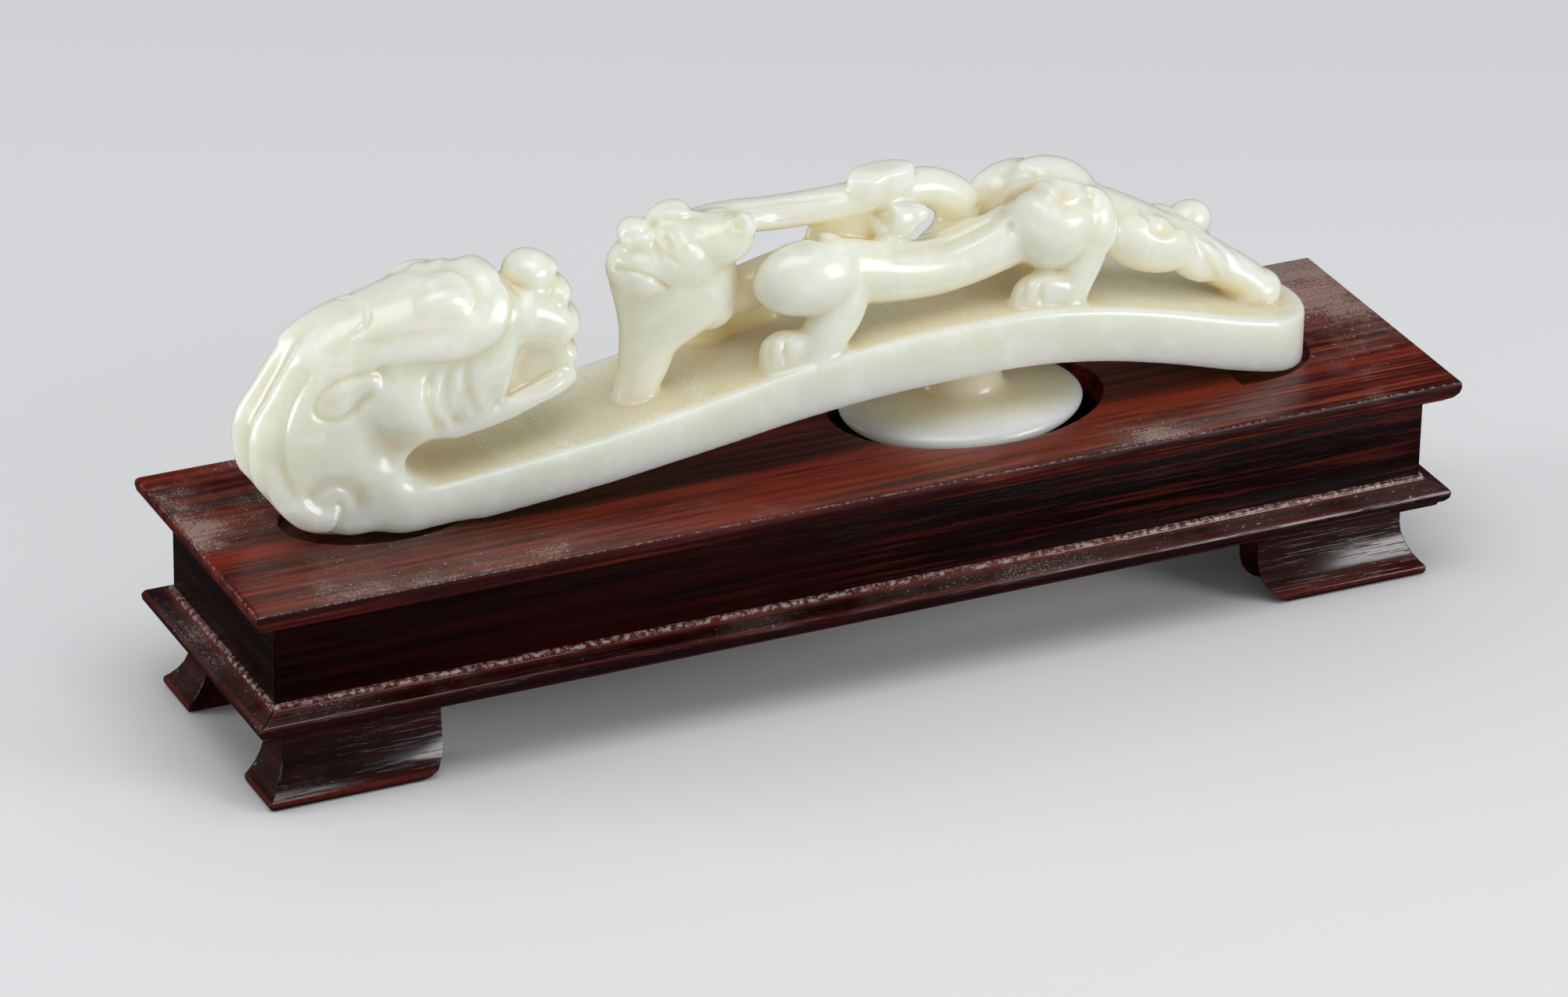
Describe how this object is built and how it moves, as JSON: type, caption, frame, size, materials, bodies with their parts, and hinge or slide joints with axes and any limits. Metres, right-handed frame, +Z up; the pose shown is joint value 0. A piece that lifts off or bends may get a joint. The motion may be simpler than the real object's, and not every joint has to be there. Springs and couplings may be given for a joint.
{
  "type": "belt hook on stand",
  "caption": "Carved nephrite belt hook with a dragon's head, an openwork young dragon on its plate and an oval button, lying on a fitted hardwood stand.",
  "frame": {"origin": "on the floor, under the middle of the stand", "axes": "+X along the stand from the dragon's head to the plate's tail, +Y away from the front, +Z up"},
  "size_m": [0.14, 0.0348, 0.0537],
  "materials": {
    "jade": "translucent pale greenish-white nephrite, waxy polish with small sharp highlights, warm in the hollows, dust on the plate",
    "board_wood": "dark red-brown hardwood, waxed, orange-red worn arrises, fine dust on top",
    "frieze_wood": "dark red-brown hardwood with lengthwise grain, waxed",
    "rail_wood": "dark red-brown hardwood moulding, glossy on its beads",
    "foot_wood": "dark red-brown hardwood, matt, greyed by dust"
  },
  "bodies": {
    "stand": {"top_board": "board_wood", "front_frieze": "frieze_wood", "front_base_rail": "rail_wood", "right_frieze": "frieze_wood", "right_base_rail": "rail_wood", "back_frieze": "frieze_wood", "back_base_rail": "rail_wood", "left_frieze": "frieze_wood", "left_base_rail": "rail_wood", "front_left_foot_long": "foot_wood", "front_left_foot_short": "foot_wood", "front_right_foot_long": "foot_wood", "front_right_foot_short": "foot_wood", "back_right_foot_long": "foot_wood", "back_right_foot_short": "foot_wood", "back_left_foot_long": "foot_wood", "back_left_foot_short": "foot_wood"},
    "hook": {"belt_hook": "jade"}
  },
  "joints": [
    {"name": "hook_lift", "type": "slide", "parent": "stand", "child": "hook", "axis": [0, 0, 1], "range_m": [0, 0.06]}
  ]
}
